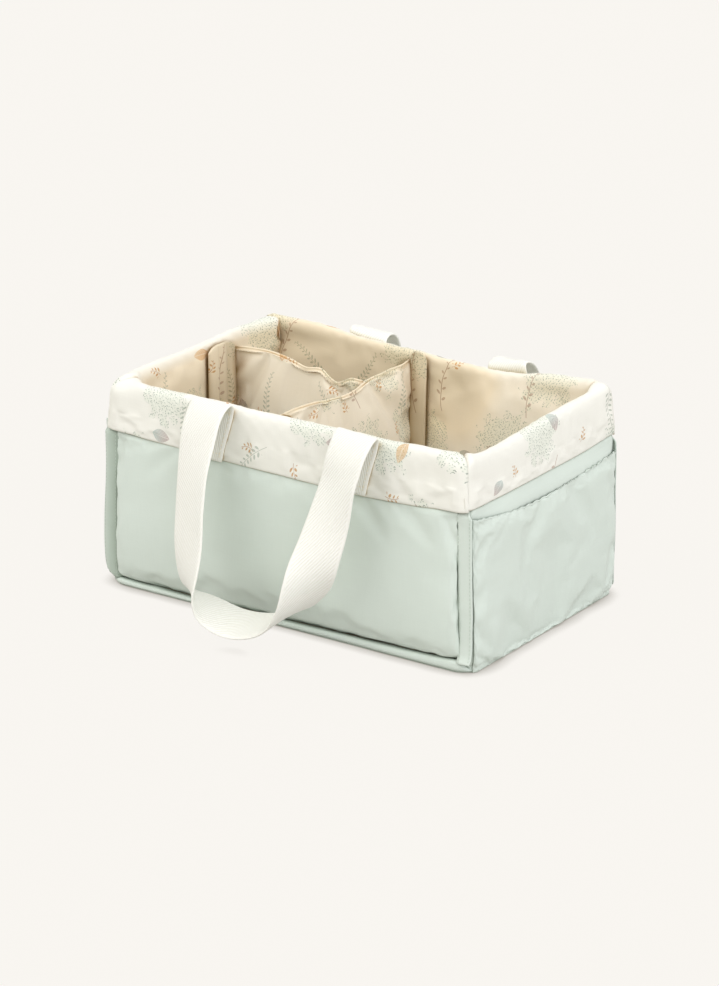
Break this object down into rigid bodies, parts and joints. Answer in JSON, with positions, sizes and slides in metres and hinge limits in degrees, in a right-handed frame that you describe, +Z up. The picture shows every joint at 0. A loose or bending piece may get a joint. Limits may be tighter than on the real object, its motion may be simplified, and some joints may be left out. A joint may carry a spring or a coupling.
{
  "type": "divided storage box",
  "caption": "Soft padded storage box with a printed lining turned over the rim, a lift-out T-shaped divider, end pockets and webbing handles.",
  "frame": {"origin": "on the floor, under the middle of the box", "axes": "+X along the length, towards the end by the single large compartment; +Y across, towards the back handle; +Z up"},
  "size_m": [0.3806, 0.3762, 0.1888],
  "materials": {
    "sage_cloth": "woven cotton, matt sage green",
    "printed_cloth": "printed cotton, matt cream with a small botanical print",
    "foam": "soft padding, matt",
    "board": "stiff base board, matt",
    "webbing": "twill cotton webbing, cream white",
    "hook_loop_tape": "hook and loop tape, matt cream"
  },
  "bodies": {
    "caddy": {"base_cloth": "sage_cloth", "base_rolled_edge": "sage_cloth", "base_board": "board", "base_padding": "foam", "base_lining": "printed_cloth", "front_wall_foam": "foam", "back_wall_foam": "foam", "left_wall_foam": "foam", "right_wall_foam": "foam", "front_outer_panel": "sage_cloth", "back_outer_panel": "sage_cloth", "left_outer_panel": "sage_cloth", "right_outer_panel": "sage_cloth", "front_lining_cuff": "printed_cloth", "back_lining_cuff": "printed_cloth", "left_lining_cuff": "printed_cloth", "right_lining_cuff": "printed_cloth", "front_left_corner_binding": "sage_cloth", "front_right_corner_binding": "sage_cloth", "back_left_corner_binding": "sage_cloth", "back_right_corner_binding": "sage_cloth", "left_end_pocket": "sage_cloth", "right_end_pocket": "sage_cloth", "front_left_handle_tab": "webbing", "front_right_handle_tab": "webbing", "back_left_handle_tab": "webbing", "back_right_handle_tab": "webbing", "front_loop_tape": "hook_loop_tape", "back_loop_tape": "hook_loop_tape", "left_loop_tape": "hook_loop_tape"},
    "divider_insert": {"cross_divider_cover": "printed_cloth", "cross_divider_foam": "foam", "long_divider_cover": "printed_cloth", "long_divider_foam": "foam", "cross_divider_front_flap": "printed_cloth", "cross_divider_back_flap": "printed_cloth", "long_divider_end_flap": "printed_cloth", "front_hook_tape": "hook_loop_tape", "back_hook_tape": "hook_loop_tape", "left_hook_tape": "hook_loop_tape"},
    "front_handle": {"front_handle_loop": "webbing"},
    "back_handle": {"back_handle_loop": "webbing"}
  },
  "joints": [
    {"name": "front_handle_swing", "type": "hinge", "parent": "caddy", "child": "front_handle", "pos_m": [0, -0.12294, 0.1875], "axis": [-1, 0, 0], "range_deg": [0, 160]},
    {"name": "back_handle_swing", "type": "hinge", "parent": "caddy", "child": "back_handle", "pos_m": [0, 0.12294, 0.1875], "axis": [1, 0, 0], "range_deg": [0, 160]},
    {"name": "divider_lift", "type": "slide", "parent": "caddy", "child": "divider_insert", "axis": [0, 0, 1], "range_m": [0, 0.176]}
  ]
}
